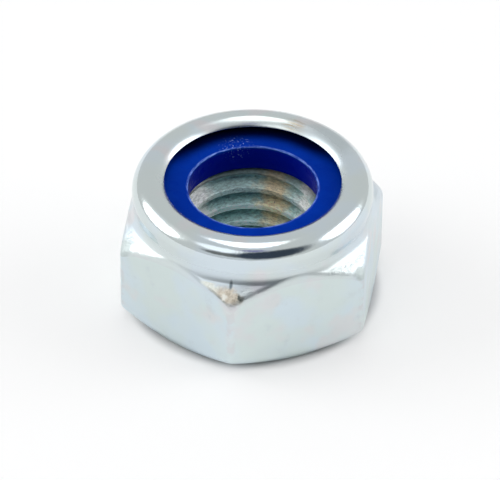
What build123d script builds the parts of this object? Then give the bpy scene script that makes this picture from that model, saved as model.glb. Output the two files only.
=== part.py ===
from build123d import *
from build123d.topology import SkipClean
from math import ceil, cos, radians, tan
import os

# Prevailing-torque hexagon lock nut with a nylon insert, M10 x 1.5.
#
# Two pieces: the steel nut body (hexagon, collar, rolled lip and threaded bore in one)
# and the nylon ring that the lip holds captive above the thread.
#
# Frame: millimetres, origin at the centre of the bearing face, +Z up along the thread
# axis towards the insert, two opposite wrench flats facing +X and -X.

# Hexagon
ACROSS_FLATS = 17.0
HEX_HEIGHT = 7.1  # bearing face to where chamfer and collar would meet
CORNER_ROUND = 0.5  # the six upright edges
BEARING_DIAMETER = 16.3  # where the lower chamfer meets the bearing face
CHAMFER_ANGLE = 30.0  # both chamfers, from the horizontal

# Collar, whose wall is rolled over the insert's rim as a lip
COLLAR_HEIGHT = 2.75  # above the hexagon
COLLAR_DIAMETER = 16.7
COLLAR_WALL = 1.15
COLLAR_FOOT_ROUND = 1.0  # hollow round between collar and upper chamfer
LIP_BEND = 141.0  # how far the wall is rolled, from upright
LIP_THINNING = 0.15  # how much thinner than the collar's wall the lip is
LIP_INNER_ROUND = 0.27  # inside radius of the roll, over the insert
POCKET_BEVEL = 0.25  # inside the roll of the lip, and round the rim of the insert under it

# Internal thread, right hand
THREAD_DIAMETER = 10.0
THREAD_PITCH = 1.5
THREAD_HEIGHT = 6.8  # bearing face to the seat of the insert
THREAD_FLANK = 30.0  # half of the included angle
GROOVE_START = 102.5  # degrees from +X, where the groove crosses the bearing face
BOTTOM_COUNTERSINK_EXCESS = 0.8  # how much wider than the thread, at the bearing face
TOP_COUNTERSINK_EXCESS = 0.4  # the same, under the insert
COUNTERSINK_SLOPE = 30.0  # from the horizontal

# Nylon insert
INSERT_GRIP_TOP = 1.08  # how much narrower than the bolt the hole is, at its upper end
INSERT_GRIP_BOTTOM = 0.6  # the same, at the seat
INSERT_EDGE_BREAK = 0.12  # bevel round the upper end of the hole
INSERT_CLEARANCE = 0.05  # around the rim; seat and lip touch the ring

hex_corner_radius = ACROSS_FLATS / 2 / cos(radians(30))
total_height = HEX_HEIGHT + COLLAR_HEIGHT
collar_radius = COLLAR_DIAMETER / 2
pocket_radius = collar_radius - COLLAR_WALL

# The lip's section is an arc, and its end face points at the arc's centre
lip_thickness = COLLAR_WALL - LIP_THINNING
lip_round = lip_thickness + LIP_INNER_ROUND
lip_underside = total_height - lip_thickness
lip_centre_radius = collar_radius - lip_round
lip_centre_height = total_height - lip_round
lip_foot_radius = lip_centre_radius - LIP_INNER_ROUND * tan(radians(LIP_BEND - 90))

# The hollow round is limited by the collar's upright wall, of which a little is left
foot_rise_per_round = tan(radians(90 - CHAMFER_ANGLE) / 2)
foot_room = (lip_centre_height - HEX_HEIGHT) / foot_rise_per_round
foot_round = min(COLLAR_FOOT_ROUND, 0.97 * foot_room)

# Basic profile of the ISO metric thread: H/8 is cut off at the root, H/4 at the crest
root_radius = THREAD_DIAMETER / 2
sharp_height = THREAD_PITCH / 2 / tan(radians(THREAD_FLANK))
crest_radius = root_radius - sharp_height * 5 / 8
root_flat = THREAD_PITCH / 8


def corner(shape, x, y):
    """The vertex of a flat shape nearest to x, y."""
    return shape.vertices().sort_by_distance((x, y, 0))[0]


def turned_blank():
    """Outside of the nut and the insert's pocket, turned about the axis, with no bore."""
    chamfer_slope = tan(radians(CHAMFER_ANGLE))
    blank_radius = hex_corner_radius + 1
    lower_rise = (blank_radius - BEARING_DIAMETER / 2) * chamfer_slope
    upper_fall = (blank_radius - collar_radius) * chamfer_slope
    lip = CenterArc((lip_centre_radius, lip_centre_height), lip_round, 0, LIP_BEND)
    outside = Polyline(
        (0, 0),
        (BEARING_DIAMETER / 2, 0),
        (blank_radius, lower_rise),
        (blank_radius, HEX_HEIGHT - upper_fall),
        (collar_radius, HEX_HEIGHT),
        lip @ 0,
    )
    inside = Polyline(
        lip @ 1,
        (lip_foot_radius, lip_underside),
        (pocket_radius, lip_underside),
        (pocket_radius, THREAD_HEIGHT),
        (0, THREAD_HEIGHT),
        (0, 0),
    )
    section = make_face(outside + lip + inside)
    section = fillet(corner(section, collar_radius, HEX_HEIGHT), foot_round)
    section = chamfer(corner(section, pocket_radius, lip_underside), POCKET_BEVEL)
    return revolve(Plane.XZ * section, Axis.Z)


def hexagon():
    """Prism with rounded corners that trims the turned blank to its wrench flats."""
    outline = RegularPolygon(ACROSS_FLATS / 2, 6, major_radius=False, rotation=30)
    return extrude(fillet(outline.vertices(), CORNER_ROUND), total_height)


def bore_quarter():
    """A quarter turn of the bore at the thread's crests, with both countersinks."""
    slope = tan(radians(COUNTERSINK_SLOPE))
    bottom_radius = (THREAD_DIAMETER + BOTTOM_COUNTERSINK_EXCESS) / 2
    top_radius = (THREAD_DIAMETER + TOP_COUNTERSINK_EXCESS) / 2
    section = Polygon(
        (0, 0),
        (bottom_radius, 0),
        (crest_radius, (bottom_radius - crest_radius) * slope),
        (crest_radius, THREAD_HEIGHT - (top_radius - crest_radius) * slope),
        (top_radius, THREAD_HEIGHT),
        (0, THREAD_HEIGHT),
        align=None,
    )
    return revolve(Plane.XZ * section, Axis.Z, revolution_arc=90)


def groove_turn():
    """One turn of the thread's groove, reaching a little inside the crests."""
    inner_radius = crest_radius - THREAD_PITCH / 6
    inner_flat = root_flat + 2 * (root_radius - inner_radius) * tan(radians(THREAD_FLANK))
    section = Polygon(
        (root_radius, root_flat / 2),
        (root_radius, -root_flat / 2),
        (inner_radius, -inner_flat / 2),
        (inner_radius, inner_flat / 2),
        align=None,
    )
    path = Helix(THREAD_PITCH, THREAD_PITCH, root_radius)
    return sweep(Plane.XZ * section, path, is_frenet=True)


def nut_body():
    """Steel body. Its faces stay in quarters, so that no land of the helical thread
    is a face of more than a quarter turn."""
    turns_inside = ceil(THREAD_HEIGHT / THREAD_PITCH)
    with SkipClean():
        body = turned_blank() & hexagon()
        body -= [Rot(Z=90 * quarter) * bore_quarter() for quarter in range(4)]
        body -= [
            Rot(Z=GROOVE_START) * Pos(Z=turn * THREAD_PITCH) * groove_turn()
            for turn in range(-1, turns_inside + 1)
        ]
    return body


def nylon_insert():
    """Ring that fills the pocket between seat and lip; its hole narrows upwards."""
    rim_radius = pocket_radius - INSERT_CLEARANCE
    bottom_radius = (THREAD_DIAMETER - INSERT_GRIP_BOTTOM) / 2
    top_radius = (THREAD_DIAMETER - INSERT_GRIP_TOP) / 2
    section = Polygon(
        (bottom_radius, THREAD_HEIGHT),
        (rim_radius, THREAD_HEIGHT),
        (rim_radius, lip_underside),
        (top_radius, lip_underside),
        align=None,
    )
    section = chamfer(corner(section, rim_radius, lip_underside), POCKET_BEVEL)
    section = chamfer(corner(section, top_radius, lip_underside), INSERT_EDGE_BREAK)
    return revolve(Plane.XZ * section, Axis.Z)


os.makedirs("parts", exist_ok=True)
export_step(nut_body(), "parts/nut_body.step")
export_step(nylon_insert(), "parts/nylon_insert.step")
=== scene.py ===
from math import acos, asin, atan, cos, degrees, radians, sin, sqrt, tan

import bmesh
import bpy
from mathutils import Matrix, Vector


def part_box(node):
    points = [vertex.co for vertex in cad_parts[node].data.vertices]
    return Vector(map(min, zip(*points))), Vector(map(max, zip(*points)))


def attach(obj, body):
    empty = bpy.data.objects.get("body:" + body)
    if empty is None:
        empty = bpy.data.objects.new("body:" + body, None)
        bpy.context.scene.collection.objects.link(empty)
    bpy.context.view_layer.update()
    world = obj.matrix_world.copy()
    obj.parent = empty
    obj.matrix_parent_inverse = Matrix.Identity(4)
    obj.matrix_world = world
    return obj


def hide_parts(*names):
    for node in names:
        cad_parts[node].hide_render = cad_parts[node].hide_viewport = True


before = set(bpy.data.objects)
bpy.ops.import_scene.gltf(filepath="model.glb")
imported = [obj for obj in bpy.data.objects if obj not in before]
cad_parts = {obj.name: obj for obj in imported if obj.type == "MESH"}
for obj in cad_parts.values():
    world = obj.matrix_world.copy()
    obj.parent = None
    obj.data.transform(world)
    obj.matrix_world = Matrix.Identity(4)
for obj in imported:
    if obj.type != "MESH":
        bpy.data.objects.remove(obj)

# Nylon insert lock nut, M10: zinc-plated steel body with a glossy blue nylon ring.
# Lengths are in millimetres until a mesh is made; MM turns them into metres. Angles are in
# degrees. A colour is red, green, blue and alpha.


def grey(level):
    """Neutral colour."""
    return (level, level, level, 1)


MM = 0.001
WHITE = grey(1)
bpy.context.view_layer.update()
body_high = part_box("nut_body")[1] / MM
ring_low, ring_high = (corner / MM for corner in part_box("nylon_insert"))

# ---------------------------------------------------------------- sizes of the body
HALF_FLATS = body_high.x  # axis to wrench flat
TOTAL_HEIGHT = body_high.z
HEX_HEIGHT = 7.15
CORNER_ROUND = 0.5
BEARING_RADIUS = 8.15
BEARING_BREAK = 0.08  # softening between the bearing face and the lower chamfer
LOWER_CHAMFER_ANGLE = 30.0
UPPER_CHAMFER_ANGLE = 37.0
COLLAR_RADIUS = 8.35
COLLAR_WALL = 1.15
COLLAR_FOOT_ROUND = 1.25
NECK_RADIUS = 8.26  # narrowest place of the collar, above its hollow foot
NECK_CREASE_RADIUS = 8.55  # where the hollow round runs into the upper chamfer
LIP_RADIUS = 6.093
LIP_ROUND = 1.27  # the section of the rolled lip is an arc from the collar to its edge
LIP_EDGE_BREAK = 0.06
EDGE_BREAK = 0.36  # softening of the edges between wrench flats and chamfers
LOWER_BREAK_SHARE = 0.6  # no more than this share of the lower chamfer is softened
CORNER_WEAR_RADIUS = 9.15  # from here to the corners the upper edge is softened more
CORNER_WEAR_UP = 0.5  # on the chamfer, at the corner itself
CORNER_WEAR_DOWN = 0.25  # on the upright edge
CORNER_WEAR_POWER = 1.5  # the wear grows with this power of the way to the corner
SEAT_HEIGHT = ring_low.z
POCKET_RADIUS = COLLAR_RADIUS - COLLAR_WALL
POCKET_BEVEL = 0.25
LIP_UNDERSIDE = ring_high.z

# ---------------------------------------------------------------- sizes of the thread
PITCH = 1.5
ROOT_RADIUS = 5.0
FLANK_ANGLE = 30.0
SHARP_HEIGHT = PITCH / 2 / tan(radians(FLANK_ANGLE))  # of the flanks' triangle with its tips
CREST_RADIUS = ROOT_RADIUS - SHARP_HEIGHT * 5 / 8  # the basic ISO profile, as the flats are
ROOT_FLAT = PITCH / 8
CREST_FLAT = PITCH / 4
ROOT_BREAK = 0.06
CREST_BREAK = 0.05
GROOVE_START = 102.5  # degrees from +X, where the groove crosses the bearing face
BOTTOM_SINK_RADIUS = 5.4
TOP_SINK_RADIUS = 5.2
SINK_ANGLE = 30.0

# ---------------------------------------------------------------- sizes of the ring
RING_RADIUS = ring_high.x
HOLE_TOP_RADIUS = 4.46
HOLE_BOTTOM_RADIUS = 4.7
HOLE_EDGE_ROUND = 0.1
HOLE_FOOT_ROUND = 0.05

# ---------------------------------------------------------------- rows of the meshes
COLUMN_STEPS = (4, 1, 42, 1, 4)  # half a corner, a margin, the flat, a margin, half a corner
FACE_ROWS = 14
EDGE_ROWS = 8
CONE_ROWS = 8
HOLLOW_ROWS = 16
LIP_ROWS = 48
RING_ROWS = 16
HOLE_ROWS = 10
CORNER_MARGIN = 1.5  # times a corner's half angle, where its margin ends
MARGIN = 0.03  # a row this close to a sharp edge keeps the shading beside it even
SHORTEST_CONE = 0.02  # covered by the cone's rows where the edge cuts the hollow round
SAME_POINT = 1e-6
WELD_REACH = 2e-7  # metres
SLIVER_LENGTH = 1e-7  # metres

# ---------------------------------------------------------------- places of the marks
# A mark is its middle, the distance up to which it is full, and the one where it ends.
# A fourth entry multiplies the distances along X, Y and Z, so that a small one makes the
# mark long.
RIM_WEAR = ((-1.2, 7.9, 9.4), 2.0, 8.0)
LIP_WARM_PATCH = ((1.9, 5.85, 9.7), 0.4, 1.3)
LIP_DULLED = ((4.3, 4.9, 9.5), 1.2, 2.8)
PALE_SCUFF = ((-1.45, -8.6, 6.85), 0.5, 1.1)
GOLDEN_SCUFF = ((-0.15, -9.15, 6.5), 0.35, 0.85, (0.6, 1, 1))
SCUFF_FOOT = ((-0.8, -9.0, 6.6), 0.6, 1.2)  # dark line along the edge, under the scuffs
BRIGHT_SPOT = ((-0.53, -9.27, 6.47), 0.1, 0.35)
DARK_SPOT = ((0.6, -9.3, 6.45), 0.05, 0.36)
NECK_NICK = ((-0.15, -8.543, 6.971), 0.05, 0.17, (1, 0.35, 0.35))
LEFT_TIP_DULLED = ((-8.31, -4.8, 6.2), 0.5, 1.0)
RIGHT_TIP_DULLED = ((8.4, -4.85, 6.15), 0.35, 0.75)
# a warm, lighter stripe up the far side of the bore
THREAD_WARM_STRIPE = ((0.9, 4.4, 4.4), 0.3, 1.7, (1, 1, 0.25))
# painted sheen on the bore's left and right walls
THREAD_SHEEN_LEFT = ((-4.3, 1.5, 5.0), 0.8, 2.4, (1, 1, 0.25))
THREAD_SHEEN_RIGHT = ((3.3, 3.2, 5.0), 0.2, 1.3, (1, 1, 0.25))
# painted glints: light dots by the back of the hole's edge
EDGE_GLINTS = ((-1.87, 4.31, 8.98), 0.5, 1.5)
INTO_LEFT_FLAT = (sin(radians(30)), cos(radians(30)), 0.0)  # from the flat left of the front corner
SHADED_SIDE = (-0.15, 0.99, 0.0)  # level direction in which painted shade lies under the lip, on the nylon

# ---------------------------------------------------------------- view and stage
VIEW_AZIMUTH = 8.65
VIEW_ELEVATION = 38.93
VIEW_DISTANCE = 368.7
VIEW_ROLL = 0.40
AIM_RIGHT = -0.165
AIM_HEIGHT = 4.127
FOCAL_LENGTH = 381.3
SENSOR_WIDTH = 36.0
NEAREST_SEEN = 10.0
FURTHEST_SEEN = 10000.0
FLOOR_HALF = 2000.0  # half the width of the floor
FLOOR_COLOUR = grey(0.93)
FLOOR_SEEN_COLOUR = grey(0.62)
FLOOR_GLOW = 0.375
FLOOR_GLOW_REACH = (8.1, 9.6)  # from the nut's middle: where the glow begins and is full; within it, painted contact shadow
LEAST_AHEAD = 0.001  # a direction away from a patch counts as far off to its side
TENT_COLOUR = grey(0.71)
TENT_PATCHES = (
    # colour, then azimuth, elevation, width and height in degrees, squareness, softness
    ((0.20, 0.20, 0.19, 1), -156, 23, 40, 18, 2.5, 0.3),  # grey gap, front left
    ((0.045, 0.06, 0.085, 1), 162, 31, 62, 46, 2.5, 0.3),  # dark gap, front right
    ((0.28, 0.27, 0.45, 1), 178, 60, 16, 12, 2, 0.5),  # violet gap above the camera
    (grey(1.0), -81.5, 30, 50, 44, 2.2, 0.4),  # pale surround of the left soft box
    (grey(0.95), 84.5, 27, 50, 42, 2.2, 0.4),  # pale surround of the right soft box
    (grey(3.4), -81.5, 25, 44, 35, 2.5, 0.2),  # left soft box
    (grey(2.6), 84.5, 26, 43, 38, 2.5, 0.2),  # right soft box
    (grey(2.2), -8, 83, 26, 34, 2, 0.3),  # soft box overhead
    (grey(1.35), -143, 48, 34, 24, 2.5, 0.3),  # weaker soft box, front left
)


# ================================================================ outlines
def spread(start, end, steps):
    """Evenly spaced values from start to end, both included."""
    return [start + (end - start) * i / steps for i in range(steps + 1)]


def arc(centre, radius, start, end, steps):
    """Points on an arc in the half plane (radius, height)."""
    return [
        (centre[0] + radius * cos(radians(a)), centre[1] + radius * sin(radians(a)))
        for a in spread(start, end, steps)
    ]


def run(start, end, steps):
    """Points on a straight line, both ends included."""
    return [
        (start[0] + (end[0] - start[0]) * t, start[1] + (end[1] - start[1]) * t)
        for t in spread(0, 1, steps)
    ]


def blend(start, corner, end, steps):
    """Rounded edge: a curve from start to end that is drawn towards the corner."""
    return [
        tuple(
            (1 - t) ** 2 * a + 2 * t * (1 - t) * b + t**2 * c
            for a, b, c in zip(start, corner, end)
        )
        for t in spread(0, 1, steps)
    ]


def towards(start, end, distance):
    """The point at this distance from start on the way to end."""
    length = sqrt((end[0] - start[0]) ** 2 + (end[1] - start[1]) ** 2)
    return tuple(a + (b - a) * distance / length for a, b in zip(start, end))


def path_of(*parts):
    """Joins point lists; a point that repeats the one before it is left out."""
    joined = []
    for part in parts:
        for point in part:
            if not joined or max(abs(a - b) for a, b in zip(point, joined[-1])) > SAME_POINT:
                joined.append(point)
    return joined


# ================================================================ hexagon
CORNER_CENTRE = (HALF_FLATS - CORNER_ROUND) / cos(radians(30))  # axis to the round's middle
CORNER_REACH = CORNER_CENTRE + CORNER_ROUND
CORNER_HALF_WIDTH = CORNER_ROUND * sin(radians(30))  # sideways, to where the round ends


def hex_radius(angle):
    """Distance from the axis to the hexagon with its rounded corners."""
    off_flat = (angle + 30) % 60 - 30
    off_corner = radians(30 - abs(off_flat))
    if CORNER_REACH * sin(off_corner) > CORNER_HALF_WIDTH:
        return HALF_FLATS / cos(radians(off_flat))
    beside = CORNER_CENTRE * sin(off_corner)
    return CORNER_CENTRE * cos(off_corner) + sqrt(CORNER_ROUND**2 - beside**2)


def column_angles():
    """Angles of the mesh columns, closest together round the six corners."""
    half_corner = degrees(atan(CORNER_HALF_WIDTH / CORNER_REACH))
    round_end = 30 - half_corner
    margin_end = 30 - half_corner * CORNER_MARGIN
    stops = (-30, -round_end, -margin_end, margin_end, round_end, 30)
    one_flat = []
    for start, end, steps in zip(stops, stops[1:], COLUMN_STEPS):
        one_flat += spread(start, end, steps)[:-1]
    return [angle + 60 * side for side in range(6) for angle in one_flat]


# ================================================================ neck
LOWER_SLOPE = radians(LOWER_CHAMFER_ANGLE)
UPPER_SLOPE = radians(UPPER_CHAMFER_ANGLE)
CREASE_HEIGHT = HEX_HEIGHT - (NECK_CREASE_RADIUS - COLLAR_RADIUS) * tan(UPPER_SLOPE)
HOLLOW_TURN = acos(1 - (NECK_CREASE_RADIUS - NECK_RADIUS) / COLLAR_FOOT_ROUND)
HOLLOW_LENGTH = COLLAR_FOOT_ROUND * HOLLOW_TURN
HOLLOW_CENTRE_RADIUS = NECK_RADIUS + COLLAR_FOOT_ROUND
HOLLOW_CENTRE_HEIGHT = CREASE_HEIGHT + COLLAR_FOOT_ROUND * sin(HOLLOW_TURN)


def neck(distance):
    """Point on the hollow round and upper chamfer, by the way gone down from the collar."""
    if distance <= HOLLOW_LENGTH:
        turn = distance / COLLAR_FOOT_ROUND
        return (
            HOLLOW_CENTRE_RADIUS - COLLAR_FOOT_ROUND * cos(turn),
            HOLLOW_CENTRE_HEIGHT - COLLAR_FOOT_ROUND * sin(turn),
        )
    beyond = distance - HOLLOW_LENGTH
    return (
        NECK_CREASE_RADIUS + beyond * cos(UPPER_SLOPE),
        CREASE_HEIGHT - beyond * sin(UPPER_SLOPE),
    )


def neck_length(radius):
    """Way down the neck to where it has this radius."""
    if radius >= NECK_CREASE_RADIUS:
        return HOLLOW_LENGTH + (radius - NECK_CREASE_RADIUS) / cos(UPPER_SLOPE)
    return COLLAR_FOOT_ROUND * acos((HOLLOW_CENTRE_RADIUS - radius) / COLLAR_FOOT_ROUND)


# ================================================================ body outline
def upper_breaks(radius):
    """How far the upper edge is softened at this radius, up the chamfer and down the flat."""
    nearness = max(0.0, (radius - CORNER_WEAR_RADIUS) / (CORNER_REACH - CORNER_WEAR_RADIUS))
    wear = nearness**CORNER_WEAR_POWER
    return EDGE_BREAK + CORNER_WEAR_UP * wear, EDGE_BREAK + CORNER_WEAR_DOWN * wear


def outer_outline(angle):
    """Body outline at one angle, from the bearing face up to the foot of the collar, each
    point with the name of its stretch."""
    radius = hex_radius(angle)
    length = neck_length(radius)
    lower = (radius, (radius - BEARING_RADIUS) * tan(LOWER_SLOPE))
    upper = (radius, neck(length)[1])
    up_break, down_break = upper_breaks(radius)
    cone_length = (radius - BEARING_RADIUS) / cos(LOWER_SLOPE)
    lower_break = min(EDGE_BREAK, LOWER_BREAK_SHARE * cone_length)

    bearing_edge = (BEARING_RADIUS, 0.0)
    bearing_end = (BEARING_RADIUS - BEARING_BREAK, 0.0)
    cone_foot = towards(bearing_edge, lower, BEARING_BREAK)
    cone_top = towards(lower, bearing_edge, lower_break)
    face_foot = towards(lower, upper, EDGE_BREAK)
    face_top = towards(upper, lower, down_break)
    lowest_row = towards(face_foot, upper, EDGE_BREAK / 2)
    highest_row = towards(face_top, lower, EDGE_BREAK / 2)
    flats = path_of(
        run((BOTTOM_SINK_RADIUS, 0.0), bearing_end, 6),
        blend(bearing_end, bearing_edge, cone_foot, 3),
        run(cone_foot, cone_top, 6),
        blend(cone_top, lower, face_foot, 4),
        run(face_foot, lowest_row, 1),
        run(lowest_row, highest_row, FACE_ROWS),
        run(highest_row, face_top, 1),
    )

    chamfer_foot = length - up_break
    crease = min(HOLLOW_LENGTH, chamfer_foot - SHORTEST_CONE)
    chamfer = path_of(
        blend(face_top, upper, neck(chamfer_foot), EDGE_ROWS),
        [neck(way) for way in spread(chamfer_foot, crease, CONE_ROWS)],
        [neck(way) for way in spread(crease, 0, HOLLOW_ROWS)],
    )
    return [("flats", p) for p in flats[:-1]] + [("chamfer", p) for p in chamfer[:-1]]


def collar_outline():
    """Collar, rolled lip with its undercut end, and pocket down to the seat, each point
    with the name of its stretch."""
    centre = (COLLAR_RADIUS - LIP_ROUND, TOTAL_HEIGHT - LIP_ROUND)
    lip_turn = degrees(asin((centre[0] - LIP_RADIUS) / LIP_ROUND))
    edge = (LIP_RADIUS, centre[1] + LIP_ROUND * cos(radians(lip_turn)))
    break_turn = degrees(LIP_EDGE_BREAK / LIP_ROUND)
    lip = arc(centre, LIP_ROUND, 0, 90 + lip_turn - break_turn, LIP_ROWS)
    end_top = towards(edge, centre, LIP_EDGE_BREAK)
    collar = path_of(
        run(neck(0), (COLLAR_RADIUS, centre[1]), 5),
        lip,
        blend(lip[-1], edge, end_top, 4),
    )

    depth = (edge[1] - LIP_UNDERSIDE) / (edge[1] - centre[1])
    end_foot = (edge[0] + (centre[0] - edge[0]) * depth, LIP_UNDERSIDE)
    end_margin = towards(end_foot, edge, MARGIN)
    bevel_top = (POCKET_RADIUS - POCKET_BEVEL, LIP_UNDERSIDE)
    bevel_foot = (POCKET_RADIUS, LIP_UNDERSIDE - POCKET_BEVEL)
    pocket_foot = (POCKET_RADIUS, SEAT_HEIGHT)
    hidden = path_of(
        run(end_top, end_margin, 6),
        run(end_margin, end_foot, 1),
        run(end_foot, bevel_top, 1),
        run(bevel_top, bevel_foot, 1),
        run(bevel_foot, pocket_foot, 2),
        run(pocket_foot, (TOP_SINK_RADIUS, SEAT_HEIGHT), 3),
    )
    return [("collar", p) for p in collar[:-1]] + [("lip_end", p) for p in hidden]


# ================================================================ thread
def thread_profile():
    """One pitch of the thread as (height, radius), from one groove's middle to the next."""
    root_edge = (ROOT_FLAT / 2, ROOT_RADIUS)
    crest_edge = (PITCH / 2 - CREST_FLAT / 2, CREST_RADIUS)
    flank_start = towards(root_edge, crest_edge, ROOT_BREAK)
    flank_end = towards(crest_edge, root_edge, CREST_BREAK)
    half = path_of(
        [(0.0, ROOT_RADIUS)],
        blend((root_edge[0] - ROOT_BREAK / 2, ROOT_RADIUS), root_edge, flank_start, 2),
        run(flank_start, flank_end, 4),
        blend(flank_end, crest_edge, (crest_edge[0] + CREST_BREAK, CREST_RADIUS), 3),
        [(PITCH / 2, CREST_RADIUS)],
    )
    mirrored = [(PITCH - height, radius) for height, radius in reversed(half)]
    return path_of(half, mirrored)[:-1]


def bore_radius(height, radius):
    """The thread's radius, or that of a countersink where this is wider."""
    slope = tan(radians(SINK_ANGLE))
    lower = BOTTOM_SINK_RADIUS - height / slope
    upper = TOP_SINK_RADIUS - (SEAT_HEIGHT - height) / slope
    return max(radius, lower, upper)


def thread_rows(angle):
    """Points of the bore at one angle. Rows climb with the thread, so row n meets
    row n + len(profile) after a full turn. There are turns to spare at both ends, and rows
    beyond an end of the bore lie flat on it."""
    profile = thread_profile()
    first_turn = -2
    last_turn = int(SEAT_HEIGHT / PITCH) + 2
    climb = PITCH * (angle - GROOVE_START) / 360
    rows = []
    for turn in range(first_turn, last_turn + 1):
        for rise, radius in profile:
            height = min(max(climb + turn * PITCH + rise, 0.0), SEAT_HEIGHT)
            rows.append((bore_radius(height, radius), height))
    return rows


# ================================================================ meshes
def on_axis(angle, point):
    """Point of the half plane at an angle, in metres."""
    radius, height = point
    a = radians(angle)
    return radius * cos(a) * MM, radius * sin(a) * MM, height * MM


def add_grid(mesh, columns, slots, closed):
    """Adds quads between neighbouring columns of points; closed joins last to first. Slots
    gives each row of quads its material."""
    vertices = [[mesh.verts.new(point) for point in column] for column in columns]
    count = len(columns) if closed else len(columns) - 1
    for c in range(count):
        here, there = vertices[c], vertices[(c + 1) % len(columns)]
        for r in range(len(here) - 1):
            quad = mesh.faces.new((here[r], there[r], there[r + 1], here[r + 1]))
            quad.material_index = slots[r]
            quad.smooth = True


def make_object(name, mesh, materials):
    """Welds the grid's seams, drops collapsed quads and makes the object."""
    bmesh.ops.remove_doubles(mesh, verts=mesh.verts, dist=WELD_REACH)
    bmesh.ops.dissolve_degenerate(mesh, edges=mesh.edges, dist=SLIVER_LENGTH)
    bmesh.ops.recalc_face_normals(mesh, faces=mesh.faces)
    data = bpy.data.meshes.new(name)
    mesh.to_mesh(data)
    mesh.free()
    for material in materials:
        data.materials.append(material)
    made = bpy.data.objects.new(name, data)
    bpy.context.scene.collection.objects.link(made)
    return made


def make_body(materials):
    """Steel body: outside, lip and pocket as one grid, the threaded bore as another. Each
    material comes under the name of the stretch that it covers."""
    slot_of = {stretch: slot for slot, stretch in enumerate(materials)}
    mesh = bmesh.new()
    angles = column_angles()
    collar = collar_outline()
    outlines = [outer_outline(angle) + collar for angle in angles]
    outside = [
        [on_axis(angle, point) for _, point in outline] for angle, outline in zip(angles, outlines)
    ]
    slots = [slot_of[stretch] for stretch, _ in outlines[0]]
    add_grid(mesh, outside, slots, closed=True)

    full_turn = angles + [angles[0] + 360]
    bore = [[on_axis(angle, point) for point in reversed(thread_rows(angle))] for angle in full_turn]
    add_grid(mesh, bore, [slot_of["bore"]] * len(bore[0]), closed=False)
    return make_object("lock_nut_body", mesh, materials.values())


def ring_outline():
    """Section of the nylon ring, once round."""
    hole_top = (HOLE_TOP_RADIUS, LIP_UNDERSIDE)
    hole_foot = (HOLE_BOTTOM_RADIUS, SEAT_HEIGHT)
    rim_top = (RING_RADIUS, LIP_UNDERSIDE)
    rim_foot = (RING_RADIUS, SEAT_HEIGHT)
    seat_margin = (HOLE_BOTTOM_RADIUS + HOLE_FOOT_ROUND * 2, SEAT_HEIGHT)
    seat_end = (HOLE_BOTTOM_RADIUS + HOLE_FOOT_ROUND, SEAT_HEIGHT)
    hole_start = towards(hole_foot, hole_top, HOLE_FOOT_ROUND)
    hole_end = towards(hole_top, hole_foot, HOLE_EDGE_ROUND)
    top_start = towards(hole_top, rim_top, HOLE_EDGE_ROUND)
    top_end = towards(rim_top, hole_top, POCKET_BEVEL)
    bevel_end = towards(rim_top, rim_foot, POCKET_BEVEL)
    return path_of(
        run(seat_margin, seat_end, 1),
        blend(seat_end, hole_foot, hole_start, 3),
        run(hole_start, hole_end, HOLE_ROWS),
        blend(hole_end, hole_top, top_start, 6),
        run(top_start, top_end, RING_ROWS),
        run(top_end, bevel_end, 2),
        run(bevel_end, rim_foot, 3),
        run(rim_foot, seat_margin, 4),
    )


def make_ring(material):
    """Nylon ring."""
    mesh = bmesh.new()
    outline = ring_outline()
    columns = [[on_axis(angle, point) for point in outline] for angle in column_angles()]
    add_grid(mesh, columns, [0] * len(outline), closed=True)
    return make_object("blue_nylon_ring", mesh, [material])


# ================================================================ node helpers
# An input or value is a constant or another node's output socket.
def fill(tree, socket, value):
    """Gives an input socket its value."""
    if isinstance(value, bpy.types.NodeSocket):
        tree.links.new(value, socket)
    else:
        socket.default_value = value


def add(tree, kind, inputs=None, **settings):
    """New node."""
    made = tree.nodes.new(kind)
    for name, value in settings.items():
        setattr(made, name, value)
    for name, value in (inputs or {}).items():
        fill(tree, made.inputs[name], value)
    return made


def calculate(tree, operation, first, second=0.0, third=0.0):
    """Math node on one, two or three values."""
    inputs = {0: first, 1: second, 2: third}
    return add(tree, "ShaderNodeMath", inputs, operation=operation).outputs[0]


def vector_math(tree, operation, inputs, output="Vector"):
    """Vector math node; the output named Value holds a length, distance or product."""
    return add(tree, "ShaderNodeVectorMath", inputs, operation=operation).outputs[output]


def remap(tree, value, source, target):
    """Value moved from the source's range to the target's, smooth and clamped."""
    names = ("From Min", "From Max", "To Min", "To Max")
    inputs = {"Value": value, **dict(zip(names, (*source, *target)))}
    made = add(tree, "ShaderNodeMapRange", inputs, interpolation_type="SMOOTHSTEP")
    return made.outputs["Result"]


def rises(tree, value, low, high):
    """Mask: 0 up to low, 1 from high on."""
    return remap(tree, value, (low, high), (0.0, 1.0))


def falls(tree, value, low, high):
    """Mask: 1 up to low, 0 from high on."""
    return remap(tree, value, (low, high), (1.0, 0.0))


def overlap(tree, mask, *others):
    """Masks multiplied, so that only what all of them cover is left."""
    for other in others:
        mask = calculate(tree, "MULTIPLY", mask, other)
    return mask


def either(tree, first, second):
    """What one mask or the other covers."""
    return calculate(tree, "MAXIMUM", first, second)


def mix_colours(tree, factor, first, second, blend_type="MIX"):
    """Colour between first and second, or first times second with MULTIPLY."""
    made = add(tree, "ShaderNodeMix", data_type="RGBA", blend_type=blend_type)
    for index, value in ((0, factor), (6, first), (7, second)):
        fill(tree, made.inputs[index], value)
    return made.outputs[2]


def tinted(tree, colour, tint):
    """Colour times a tint."""
    return mix_colours(tree, 1.0, colour, tint, "MULTIPLY")


def painted(tree, colour, mask, paint, strength=1.0):
    """Colour with paint over it where the mask is."""
    return mix_colours(tree, calculate(tree, "MULTIPLY", mask, strength), colour, paint)


def scaled(tree, place, factors):
    """Place with each of its coordinates times a factor."""
    return vector_math(tree, "MULTIPLY", {0: place, 1: factors})


def millimetres(tree):
    """Place on the object, in millimetres."""
    place = add(tree, "ShaderNodeTexCoord").outputs["Object"]
    return vector_math(tree, "SCALE", {0: place, "Scale": 1 / MM})


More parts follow.
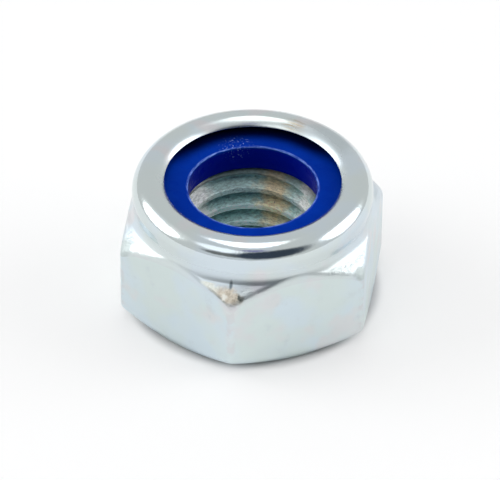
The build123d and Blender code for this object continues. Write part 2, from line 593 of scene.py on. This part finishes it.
def along(tree, place, direction):
    """How far a place lies along a direction."""
    return vector_math(tree, "DOT_PRODUCT", {0: place, 1: direction}, "Value")


def height_of(tree, place):
    """Height above the floor."""
    return along(tree, place, (0, 0, 1))


def radius_of(tree, place):
    """Distance from the axis."""
    return vector_math(tree, "LENGTH", {0: scaled(tree, place, (1, 1, 0))}, "Value")


def near(tree, place, centre, inner, outer, factors=(1, 1, 1)):
    """Mask round a point: 1 within the inner distance, 0 beyond the outer one. The factors
    multiply the distances along X, Y and Z first."""
    centre = [coordinate * factor for coordinate, factor in zip(centre, factors)]
    squeezed = scaled(tree, place, factors)
    distance = vector_math(tree, "DISTANCE", {0: squeezed, 1: centre}, "Value")
    return falls(tree, distance, inner, outer)


def noise(tree, coordinates, scale, detail=3.0, roughness=0.5, w=None):
    """Noise value, about 0.5 on average. W is a fourth coordinate; patterns with another
    constant W have nothing in common."""
    inputs = {"Vector": coordinates, "Scale": scale, "Detail": detail, "Roughness": roughness}
    if w is not None:
        inputs["W"] = w
    dimensions = "3D" if w is None else "4D"
    return add(tree, "ShaderNodeTexNoise", inputs, noise_dimensions=dimensions).outputs["Fac"]


def centred(tree, value):
    """Noise value moved to 0 on average, so that a mask on it makes no slope of its own."""
    return calculate(tree, "SUBTRACT", value, 0.5)


def wander(tree, place, scale, reach):
    """Place moved by noise, up to half the reach each way, for marks with ragged edges."""
    inputs = {"Vector": place, "Scale": scale, "Detail": 3.0}
    colour = add(tree, "ShaderNodeTexNoise", inputs).outputs["Color"]
    offset = vector_math(tree, "SUBTRACT", {0: colour, 1: (0.5, 0.5, 0.5)})
    offset = vector_math(tree, "SCALE", {0: offset, "Scale": reach})
    return vector_math(tree, "ADD", {0: place, 1: offset})


def turned_noise(tree, place, lengthwise, across, detail=3.0, roughness=0.5):
    """Noise in marks that run round the axis. Lengthwise and across are its scales; the
    radius is the noise's fourth coordinate."""
    parts = add(tree, "ShaderNodeSeparateXYZ", {0: place})
    x, y, z = (parts.outputs[i] for i in range(3))
    radius = radius_of(tree, place)
    coordinates = {
        0: calculate(tree, "MULTIPLY", calculate(tree, "DIVIDE", x, radius), lengthwise),
        1: calculate(tree, "MULTIPLY", calculate(tree, "DIVIDE", y, radius), lengthwise),
        2: calculate(tree, "MULTIPLY", z, across),
    }
    vector = add(tree, "ShaderNodeCombineXYZ", coordinates).outputs[0]
    w = calculate(tree, "MULTIPLY", radius, across)
    return noise(tree, vector, 1.0, detail, roughness, w=w)


def bump(tree, height, depth, normal=None):
    """Bump whose full height is depth millimetres."""
    inputs = {"Height": height, "Strength": 1.0, "Distance": depth * MM}
    if normal is not None:
        inputs["Normal"] = normal
    return add(tree, "ShaderNodeBump", inputs).outputs["Normal"]


# ================================================================ materials
def new_material(name):
    """Material with a Principled shader, and its tree."""
    material = bpy.data.materials.new(name)
    material.use_nodes = True
    return material, material.node_tree


def set_shader(tree, **inputs):
    """Sets the Principled shader's inputs, with _ for a space in their names."""
    shader = tree.nodes["Principled BSDF"]
    for name, value in inputs.items():
        fill(tree, shader.inputs[name.replace("_", " ")], value)


def cloudy_colour(tree, place, tints):
    """Colour of the plating, drifting between three tints."""
    cool, green, rose = tints
    cloud = rises(tree, noise(tree, place, 0.28, detail=2.0), 0.38, 0.62)
    blush = rises(tree, noise(tree, place, 0.42, detail=2.0, w=3.0), 0.52, 0.68)
    return mix_colours(tree, blush, mix_colours(tree, cloud, cool, green), rose)


# ---------------------------------------------------------------- collar and lip
BRIGHT_TINTS = ((0.65, 0.735, 0.79, 1), (0.66, 0.73, 0.73, 1), (0.70, 0.71, 0.73, 1))
RIM_WEAR_COLOUR = (0.42, 0.40, 0.34, 1)
LIP_WARM_COLOUR = (0.50, 0.40, 0.25, 1)
LIP_DULLED_COLOUR = (0.50, 0.56, 0.57, 1)
RIM_WEAR_RADII = (7.2, 7.8)
RIM_RADII = (7.3, 7.9)  # the hammered rim lies outside these, and above the heights
RIM_HEIGHTS = (8.6, 9.0)
ROLLED_RADII = (6.5, 7.0)  # the roller has left the lip dull inside these
ROLLED_ROUGHNESS = 0.15  # added there
DULLED_ROUGHNESS = 0.12


def collar_colour(tree, place, ragged, streaks, dulled):
    """Plating of the lip, worn on the far rim, warmer in a patch and dulled on the far lip."""
    specks = turned_noise(tree, place, lengthwise=14.0, across=7.0, detail=3.0, roughness=0.7)
    wear = overlap(
        tree,
        near(tree, place, *RIM_WEAR),
        rises(tree, radius_of(tree, place), *RIM_WEAR_RADII),
        rises(tree, specks, 0.46, 0.66),
    )
    warm_patch = overlap(
        tree, near(tree, ragged, *LIP_WARM_PATCH), remap(tree, streaks, (0.4, 0.65), (0.1, 0.7))
    )
    colour = cloudy_colour(tree, place, BRIGHT_TINTS)
    colour = painted(tree, colour, wear, RIM_WEAR_COLOUR, strength=0.6)
    colour = painted(tree, colour, warm_patch, LIP_WARM_COLOUR)
    return painted(tree, colour, dulled, LIP_DULLED_COLOUR, strength=0.6)


def collar_material():
    """Bright plating on collar and lip: close to a mirror, speckled and slightly hammered
    round the rim, duller and marked by the roller towards the lip's edge."""
    material, tree = new_material("zinc")
    place = millimetres(tree)
    radius = radius_of(tree, place)
    ragged = wander(tree, place, scale=1.5, reach=0.8)
    streaks = turned_noise(tree, place, lengthwise=4.0, across=7.0)
    dulled = near(tree, ragged, *LIP_DULLED)
    cloud = noise(tree, place, 1.3, detail=5.0, roughness=0.6)
    roughness = remap(tree, cloud, (0.3, 0.7), (0.075, 0.13))
    rolled = falls(tree, radius, *ROLLED_RADII)
    roughness = calculate(tree, "MULTIPLY_ADD", rolled, ROLLED_ROUGHNESS, roughness)
    rim = overlap(
        tree,
        rises(tree, radius, *RIM_RADII),
        rises(tree, height_of(tree, place), *RIM_HEIGHTS),
    )
    hammered = noise(tree, place, 2.6, detail=3.0, roughness=0.6, w=1.0)
    normal = bump(tree, noise(tree, place, 0.9, detail=2.0), depth=0.01)
    normal = bump(tree, overlap(tree, centred(tree, hammered), rim), depth=0.006, normal=normal)
    set_shader(
        tree,
        Base_Color=collar_colour(tree, place, ragged, streaks, dulled),
        Metallic=1.0,
        Roughness=calculate(tree, "MULTIPLY_ADD", dulled, DULLED_ROUGHNESS, roughness),
        Normal=bump(tree, streaks, depth=0.0015, normal=normal),
    )
    return material


# ---------------------------------------------------------------- upper chamfer
GOLDEN_COLOURS = ((0.58, 0.52, 0.42, 1), (0.82, 0.77, 0.67, 1))
PALE_COLOURS = ((0.74, 0.78, 0.72, 1), (0.92, 0.95, 0.90, 1))
SCUFF_FOOT_COLOUR = (0.32, 0.33, 0.31, 1)
BRIGHT_SPOT_COLOUR = (0.95, 0.95, 0.88, 1)
DARK_SPOT_COLOUR = (0.10, 0.12, 0.11, 1)
NECK_NICK_COLOUR = (0.20, 0.25, 0.28, 1)
DULLED_TIP_COLOUR = (0.58, 0.65, 0.65, 1)
CONE_RADII = (8.56, 8.66)  # the scuffs end where the hollow round begins
FORGED_RADII = (8.55, 8.9)  # smooth inside these, rough outside
# Distances inwards from the flat left of the front corner, where the marks start and end.
SCUFF_START = (0.04, 0.12)
PALE_SCUFF_END = (0.3, 0.65)
GOLDEN_SCUFF_END = (0.7, 1.1)
SCUFF_FOOT_START = (0.03, 0.07)
SCUFF_FOOT_END = (0.10, 0.18)


def inside_left_flat(tree, place):
    """How far a place lies inside the flat to the left of the front corner."""
    return calculate(tree, "ADD", along(tree, place, INTO_LEFT_FLAT), HALF_FLATS)


def scuff_masks(tree, place, ragged):
    """Pale and golden scuff on the front corner's chamfer."""
    on_cone = rises(tree, radius_of(tree, place), *CONE_RADII)
    off_foot = rises(tree, inside_left_flat(tree, place), *SCUFF_START)
    from_edge = inside_left_flat(tree, ragged)
    return [
        overlap(tree, near(tree, ragged, *scuff), falls(tree, from_edge, *end), off_foot, on_cone)
        for scuff, end in ((PALE_SCUFF, PALE_SCUFF_END), (GOLDEN_SCUFF, GOLDEN_SCUFF_END))
    ]


def scuff_foot(tree, place, ragged, flecks):
    """Broken dark line between the scuffs and the edge of the flat."""
    inside = inside_left_flat(tree, place)
    return overlap(
        tree,
        rises(tree, inside, *SCUFF_FOOT_START),
        falls(tree, inside, *SCUFF_FOOT_END),
        near(tree, ragged, *SCUFF_FOOT),
        remap(tree, flecks, (0.0, 1.0), (0.4, 0.9)),
    )


def chamfer_colour(tree, place, ragged, pale, golden, dulled):
    """Plating of the chamfer under its scuffs, spots and nick."""
    flecks = rises(tree, noise(tree, place, 5.0, detail=3.0, roughness=0.7, w=1.0), 0.35, 0.65)
    marks = (
        (pale, mix_colours(tree, flecks, *PALE_COLOURS)),
        (golden, mix_colours(tree, flecks, *GOLDEN_COLOURS)),
        (scuff_foot(tree, place, ragged, flecks), SCUFF_FOOT_COLOUR),
        (near(tree, ragged, *BRIGHT_SPOT), BRIGHT_SPOT_COLOUR),
        (near(tree, ragged, *DARK_SPOT), DARK_SPOT_COLOUR),
        (near(tree, place, *NECK_NICK), NECK_NICK_COLOUR),
        (dulled, DULLED_TIP_COLOUR),
    )
    colour = cloudy_colour(tree, place, BRIGHT_TINTS)
    for mask, paint in marks:
        colour = painted(tree, colour, mask, paint)
    return colour


def chamfer_material():
    """Plating on the upper chamfer: smooth in the hollow round by the collar, rough as
    forged towards the six corners, with scuffs on one of them."""
    material, tree = new_material("zinc_chamfer")
    place = millimetres(tree)
    ragged = wander(tree, place, scale=2.6, reach=0.7)
    pale, golden = scuff_masks(tree, place, ragged)
    dulled = either(
        tree, near(tree, ragged, *LEFT_TIP_DULLED), near(tree, ragged, *RIGHT_TIP_DULLED)
    )
    rough = either(tree, either(tree, golden, pale), dulled)
    forged = rises(tree, radius_of(tree, place), *FORGED_RADII)
    normal = None
    for pattern, mask, depth in (
        (noise(tree, place, 3.2, detail=4.0, roughness=0.65), forged, 0.045),
        (noise(tree, place, 4.5, detail=4.0, roughness=0.7, w=4.0), forged, 0.03),
        (noise(tree, place, 7.0, detail=3.0, roughness=0.6, w=2.0), rough, 0.03),
    ):
        normal = bump(tree, overlap(tree, centred(tree, pattern), mask), depth, normal)
    set_shader(
        tree,
        Base_Color=chamfer_colour(tree, place, ragged, pale, golden, dulled),
        Metallic=0.85,
        Roughness=remap(tree, rough, (0.0, 1.0), (0.3, 0.55)),
        Normal=normal,
    )
    return material


# ---------------------------------------------------------------- wrench flats
FLAT_TINTS = ((0.67, 0.77, 0.82, 1), (0.68, 0.77, 0.76, 1), (0.71, 0.74, 0.75, 1))
SMUDGE_COLOUR = (0.60, 0.67, 0.70, 1)
WORN_COLOUR = (0.66, 0.66, 0.68, 1)
WORN_RADII = (9.58, 9.72)  # close to the corners


def flats_material():
    """Satin plating on the wrench flats, worn bright along the upright edges."""
    material, tree = new_material("zinc_flats")
    place = millimetres(tree)
    smudges = rises(tree, noise(tree, place, 0.9, detail=4.0, roughness=0.6, w=5.0), 0.55, 0.75)
    patchy = rises(tree, noise(tree, place, 1.6, detail=3.0, w=7.0), 0.42, 0.6)
    worn = overlap(tree, rises(tree, radius_of(tree, place), *WORN_RADII), patchy)
    satin = noise(tree, place, 0.8, detail=4.0, roughness=0.55)
    colour = cloudy_colour(tree, place, FLAT_TINTS)
    colour = painted(tree, colour, smudges, SMUDGE_COLOUR, strength=0.5)
    set_shader(
        tree,
        Base_Color=painted(tree, colour, worn, WORN_COLOUR, strength=0.6),
        Metallic=1.0,
        Roughness=remap(tree, satin, (0.3, 0.7), (0.3, 0.42)),
        Normal=bump(tree, noise(tree, place, 0.7, detail=3.0), depth=0.008),
    )
    return material


# ---------------------------------------------------------------- thread
# lighter on the crests, as wear and painted light; darker towards the roots, as painted shade
CREST_COLOUR = (0.66, 0.86, 0.83, 1)
FLANK_COLOUR = (0.45, 0.65, 0.62, 1)
ROOT_COLOUR = (0.37, 0.56, 0.54, 1)
# painted sheen in the bore
SHEEN_COLOUR = (0.95, 0.98, 0.93, 1)
WARM_STRIPE_COLOUR = (1.0, 0.74, 0.46, 1)
PIT_COLOUR = (0.10, 0.14, 0.14, 1)
SPECKLE_TINTS = (grey(0.68), grey(1.22))
LIT_TURNS_TINT = grey(1.4)
SEAT_SHADE_TINT = grey(0.3)
LIT_TURNS_FOOT = (1.6, 3.2)  # heights at which the painted light on the middle turns begins
LIT_TURNS_TOP = (3.9, 4.9)  # heights at which it ends
LIT_TURNS_RADII = (ROOT_RADIUS - 0.45, ROOT_RADIUS - 0.05)
CREST_RADII = (CREST_RADIUS + 0.02, CREST_RADIUS + 0.12)
FLANK_RADII = (CREST_RADIUS + 0.1, ROOT_RADIUS)
SEAT_SHADE_HEIGHTS = (SEAT_HEIGHT - 0.75, SEAT_HEIGHT - 0.25)


def plain_thread_colour(tree, radius):
    """Bright on the crests, as wear and painted light; dark in the roots, as painted shade."""
    depth = rises(tree, radius, *FLANK_RADII)
    crest = falls(tree, radius, *CREST_RADII)
    return painted(tree, mix_colours(tree, depth, FLANK_COLOUR, ROOT_COLOUR), crest, CREST_COLOUR)


def stripe_and_sheen_colour(tree, place, colour):
    """Colour with a warm, lighter stripe up the far side, and a painted sheen to its left and right.
    """
    ragged = wander(tree, place, scale=1.9, reach=2.0)
    # warm, lighter tone for the stripe up the far side
    stripe_tone = mix_colours(tree, 0.65, tinted(tree, colour, WARM_STRIPE_COLOUR), WARM_STRIPE_COLOUR)
    # painted sheen: near-white patches to the left and right of the stripe
    sheen = either(
        tree, near(tree, ragged, *THREAD_SHEEN_LEFT), near(tree, ragged, *THREAD_SHEEN_RIGHT)
    )
    colour = painted(tree, colour, near(tree, ragged, *THREAD_WARM_STRIPE), stripe_tone, strength=0.9)
    return painted(tree, colour, sheen, SHEEN_COLOUR)


def shaded_by_height(tree, place, radius, colour):
    """Colour with painted light on the middle turns, less of it in their roots, and painted shade
    at the top of the bore, under the seat."""
    height = height_of(tree, place)
    # painted light on the middle turns
    lit_turns = overlap(
        tree,
        falls(tree, height, *LIT_TURNS_TOP),
        remap(tree, height, LIT_TURNS_FOOT, (0.5, 1.0)),
        remap(tree, radius, LIT_TURNS_RADII, (1.0, 0.1)),
    )
    # painted shade at the top of the bore, under the seat
    seat_shade = rises(tree, height, *SEAT_SHADE_HEIGHTS)
    colour = painted(tree, colour, lit_turns, tinted(tree, colour, LIT_TURNS_TINT))
    return painted(tree, colour, seat_shade, tinted(tree, colour, SEAT_SHADE_TINT))


def thread_material():
    """Dull grey-green plating in the thread: lighter on the crests, as wear and painted light,
    darker in the roots as painted shade, speckled, with a warm, lighter stripe up one side."""
    material, tree = new_material("zinc_thread")
    place = millimetres(tree)
    radius = radius_of(tree, place)
    specks = turned_noise(tree, place, lengthwise=14.0, across=9.0, detail=4.0, roughness=0.7)
    speckle = rises(tree, specks, 0.35, 0.65)
    pits = rises(tree, noise(tree, place, 5.0, detail=3.0, roughness=0.7, w=4.0), 0.6, 0.72)
    tooled = turned_noise(tree, place, lengthwise=14.0, across=9.0, detail=4.0, roughness=0.6)
    colour = plain_thread_colour(tree, radius)
    colour = stripe_and_sheen_colour(tree, place, colour)
    colour = shaded_by_height(tree, place, radius, colour)
    colour = tinted(tree, colour, mix_colours(tree, speckle, *SPECKLE_TINTS))
    set_shader(
        tree,
        Base_Color=painted(tree, colour, pits, PIT_COLOUR, strength=0.7),
        Metallic=0.3,
        Roughness=remap(tree, speckle, (0.0, 1.0), (0.5, 0.35)),
        Normal=bump(tree, tooled, depth=0.02),
    )
    return material


# ---------------------------------------------------------------- inside of the lip
# painted shade on the lip's end and in the pocket
LIP_END_SHADE_COLOURS = ((0.030, 0.034, 0.045, 1), (0.075, 0.080, 0.095, 1))


def lip_end_material():
    """Sheared end of the lip and the pocket behind it: dull, and painted dark as shade in the gap
    under the lip.
    """
    material, tree = new_material("zinc_lip_end")
    patchy = turned_noise(tree, millimetres(tree), lengthwise=8.0, across=6.0)
    mottle = rises(tree, patchy, 0.35, 0.65)
    set_shader(
        tree,
        Base_Color=mix_colours(tree, mottle, *LIP_END_SHADE_COLOURS),
        Metallic=0.6,
        Roughness=remap(tree, mottle, (0.0, 1.0), (0.5, 0.4)),
        Normal=bump(tree, mottle, depth=0.015),
    )
    return material


# ---------------------------------------------------------------- nylon
NYLON_COLOURS = ((0.0003, 0.0255, 0.300, 1), (0.0005, 0.031, 0.345, 1))
HOLE_SHADE_COLOUR = (0.0003, 0.007, 0.28, 1)
EDGE_HIGHLIGHT_COLOUR = (0.20, 0.32, 0.80, 1)
SCRATCH_COLOUR = (0.10, 0.16, 0.5, 1)
GLINT_COLOUR = (0.32, 0.42, 0.80, 1)
UNDER_LIP_SHADE_COLOUR = (0, 0, 0.004, 1)
HOLE_SHADE_HEIGHTS = (LIP_UNDERSIDE - 0.25, LIP_UNDERSIDE - 0.1)  # where the hole's painted shade ends
EDGE_HIGHLIGHT_HEIGHTS = (LIP_UNDERSIDE - 0.12, LIP_UNDERSIDE - 0.04)
EDGE_HIGHLIGHT_START = (HOLE_TOP_RADIUS - 0.01, HOLE_TOP_RADIUS + 0.03)
EDGE_HIGHLIGHT_END = (HOLE_TOP_RADIUS + 0.08, HOLE_TOP_RADIUS + 0.2)
UNDER_LIP_RADII = (4.9, 6.1)
UNDER_LIP_DISTANCES = (2.2, 4.6)  # from the axis towards the shaded side
NYLON_SPECULAR = 0.012
NYLON_SPECULAR_TINT = (0.05, 0.5, 0.9, 1)


def hole_edge_highlight(tree, place, radius, height):
    """Painted highlight, in patches along the hole's upper edge."""
    patchy = turned_noise(tree, place, lengthwise=4.0, across=6.0, detail=5.0, roughness=0.8)
    return overlap(
        tree,
        rises(tree, radius, *EDGE_HIGHLIGHT_START),
        falls(tree, radius, *EDGE_HIGHLIGHT_END),
        rises(tree, height, *EDGE_HIGHLIGHT_HEIGHTS),
        rises(tree, patchy, 0.42, 0.6),
    )


def nylon_colour(tree, place, scratches):
    """Blue, with painted shade in the hole and under the far side of the lip, a painted
    highlight and painted glints along the hole's edge, and scratches."""
    radius = radius_of(tree, place)
    height = height_of(tree, place)
    cloud = rises(tree, noise(tree, place, 0.5, detail=2.0), 0.35, 0.65)
    # painted shade: the hole's wall a deeper, darker blue
    hole_shade = falls(tree, height, *HOLE_SHADE_HEIGHTS)
    # painted glints: light dots by the hole's edge
    glints = overlap(
        tree,
        near(tree, place, *EDGE_GLINTS),
        rises(tree, noise(tree, place, 8.0, detail=2.0, roughness=0.6, w=6.0), 0.60, 0.66),
    )
    # painted shade: the nylon darkened under the far side of the lip
    under_lip_shade = overlap(
        tree,
        rises(tree, radius, *UNDER_LIP_RADII),
        rises(tree, along(tree, place, SHADED_SIDE), *UNDER_LIP_DISTANCES),
    )
    colour = mix_colours(tree, cloud, *NYLON_COLOURS)
    colour = painted(tree, colour, hole_shade, HOLE_SHADE_COLOUR)
    colour = painted(tree, colour, hole_edge_highlight(tree, place, radius, height), EDGE_HIGHLIGHT_COLOUR)
    colour = painted(tree, colour, scratches, SCRATCH_COLOUR, strength=0.4)
    colour = painted(tree, colour, glints, GLINT_COLOUR)
    return painted(tree, colour, under_lip_shade, UNDER_LIP_SHADE_COLOUR, strength=0.9)


def nylon_material():
    """Deep blue nylon, with a painted highlight on the hole's upper edge, paler in short turned
    scratches.
    """
    material, tree = new_material("blue_nylon")
    place = millimetres(tree)
    turned = turned_noise(tree, place, lengthwise=3.0, across=14.0, detail=3.0, roughness=0.6)
    scratches = rises(tree, turned, 0.75, 0.82)
    satin = noise(tree, place, 0.8, detail=3.0)
    normal = bump(tree, noise(tree, place, 1.2, detail=3.0), depth=0.01)
    set_shader(
        tree,
        Base_Color=nylon_colour(tree, place, scratches),
        Roughness=remap(tree, satin, (0.3, 0.7), (0.24, 0.32)),
        Specular_IOR_Level=NYLON_SPECULAR,
        Specular_Tint=NYLON_SPECULAR_TINT,
        Normal=bump(tree, scratches, depth=0.01, normal=normal),
    )
    return material


# ---------------------------------------------------------------- floor
def seen_directly(tree):
    """1 for what the camera sees, at first hand or in a clear reflection, otherwise 0."""
    ray = add(tree, "ShaderNodeLightPath")
    return either(tree, ray.outputs["Is Camera Ray"], ray.outputs["Is Glossy Ray"])


def floor_material():
    """White floor. The camera and clear reflections see it near to white, with the shadow, and
    with a painted contact shadow where the glow fades out near the nut.
    """
    material, tree = new_material("white_floor")
    tree.nodes.clear()
    matt = add(tree, "ShaderNodeBsdfDiffuse", {"Color": FLOOR_COLOUR}).outputs[0]
    seen = add(tree, "ShaderNodeBsdfDiffuse", {"Color": FLOOR_SEEN_COLOUR}).outputs[0]
    # painted contact shadow: the glow fades out close to the nut
    contact_shadow = near(tree, millimetres(tree), (0, 0, 0), *FLOOR_GLOW_REACH)
    strength = remap(tree, contact_shadow, (0.0, 1.0), (FLOOR_GLOW, 0.0))
    glow = add(tree, "ShaderNodeEmission", {"Color": WHITE, "Strength": strength}).outputs[0]
    seen = add(tree, "ShaderNodeAddShader", {0: seen, 1: glow}).outputs[0]
    mixed = add(tree, "ShaderNodeMixShader", {0: seen_directly(tree), 1: matt, 2: seen}).outputs[0]
    add(tree, "ShaderNodeOutputMaterial", {"Surface": mixed})
    return material


# ================================================================ stage
def make_floor():
    """Plain floor under the nut."""
    half = FLOOR_HALF * MM
    corners = [(-half, -half, 0), (half, -half, 0), (half, half, 0), (-half, half, 0)]
    data = bpy.data.meshes.new("floor")
    data.from_pydata(corners, [], [(0, 1, 2, 3)])
    data.materials.append(floor_material())
    floor = bpy.data.objects.new("floor", data)
    bpy.context.scene.collection.objects.link(floor)


def from_nut(azimuth, elevation):
    """Direction from the nut. Azimuth 0 points away from the camera and 90 to its right."""
    a, e = radians(azimuth), radians(elevation)
    turn = Matrix.Rotation(radians(VIEW_AZIMUTH), 3, "Z")
    return turn @ Vector((sin(a) * cos(e), cos(a) * cos(e), sin(e)))


def light_mask(tree, direction, azimuth, elevation, width, height, squareness, softness):
    """1 inside a rounded patch of the studio and 0 outside it, with a soft edge. A
    squareness of 2 makes the patch an ellipse, and a higher one makes it boxier."""
    forward = from_nut(azimuth, elevation)
    right = forward.cross(Vector((0, 0, 1))).normalized()
    up = right.cross(forward)
    ahead, across, above = (along(tree, direction, axis) for axis in (forward, right, up))
    ahead = calculate(tree, "MAXIMUM", ahead, LEAST_AHEAD)
    powers = []
    for offset, size in ((across, width), (above, height)):
        edge = calculate(tree, "MULTIPLY", ahead, tan(radians(size / 2)))
        share = calculate(tree, "ABSOLUTE", calculate(tree, "DIVIDE", offset, edge))
        powers.append(calculate(tree, "POWER", share, squareness))
    out = calculate(tree, "POWER", calculate(tree, "ADD", *powers), 1 / squareness)
    return falls(tree, out, 1 - softness, 1 + softness)


def make_world():
    """Light tent: even light from all round with soft lights and dark gaps in it. The
    camera sees plain white behind the floor."""
    world = bpy.data.worlds.new("studio")
    bpy.context.scene.world = world
    world.use_nodes = True
    tree = world.node_tree
    background = tree.nodes["Background"]
    direction = add(tree, "ShaderNodeTexCoord").outputs["Generated"]
    colour = TENT_COLOUR
    for patch_colour, *place in TENT_PATCHES:
        colour = mix_colours(tree, light_mask(tree, direction, *place), colour, patch_colour)
    ray = add(tree, "ShaderNodeLightPath")
    colour = mix_colours(tree, ray.outputs["Is Camera Ray"], colour, WHITE)
    fill(tree, background.inputs["Color"], colour)
    fill(tree, background.inputs["Strength"], 1.0)


def make_camera():
    """Camera on the photograph's line of sight."""
    elevation = radians(VIEW_ELEVATION)
    turn = Matrix.Rotation(radians(VIEW_AZIMUTH), 3, "Z")
    aim = turn @ Vector((AIM_RIGHT, 0, AIM_HEIGHT))
    back = turn @ Vector((0, -cos(elevation), sin(elevation)))
    level = turn @ Vector((1, 0, 0))
    right = Matrix.Rotation(radians(VIEW_ROLL), 3, back) @ level
    up = back.cross(right)
    data = bpy.data.cameras.new("camera")
    data.sensor_width = SENSOR_WIDTH
    data.lens = FOCAL_LENGTH
    data.clip_start = NEAREST_SEEN * MM
    data.clip_end = FURTHEST_SEEN * MM
    camera = bpy.data.objects.new("camera", data)
    bpy.context.scene.collection.objects.link(camera)
    place = (aim + back * VIEW_DISTANCE) * MM
    rotation = Matrix((right, up, back)).transposed()
    camera.matrix_world = Matrix.Translation(place) @ rotation.to_4x4()
    bpy.context.scene.camera = camera


# ================================================================ build
body = make_body(
    {
        "collar": collar_material(),
        "chamfer": chamfer_material(),
        "bore": thread_material(),
        "flats": flats_material(),
        "lip_end": lip_end_material(),
    }
)
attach(body, "root")
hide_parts("nut_body")

ring = make_ring(nylon_material())
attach(ring, "root")
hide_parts("nylon_insert")

make_floor()
make_world()
make_camera()
bpy.context.scene.view_settings.view_transform = "Standard"
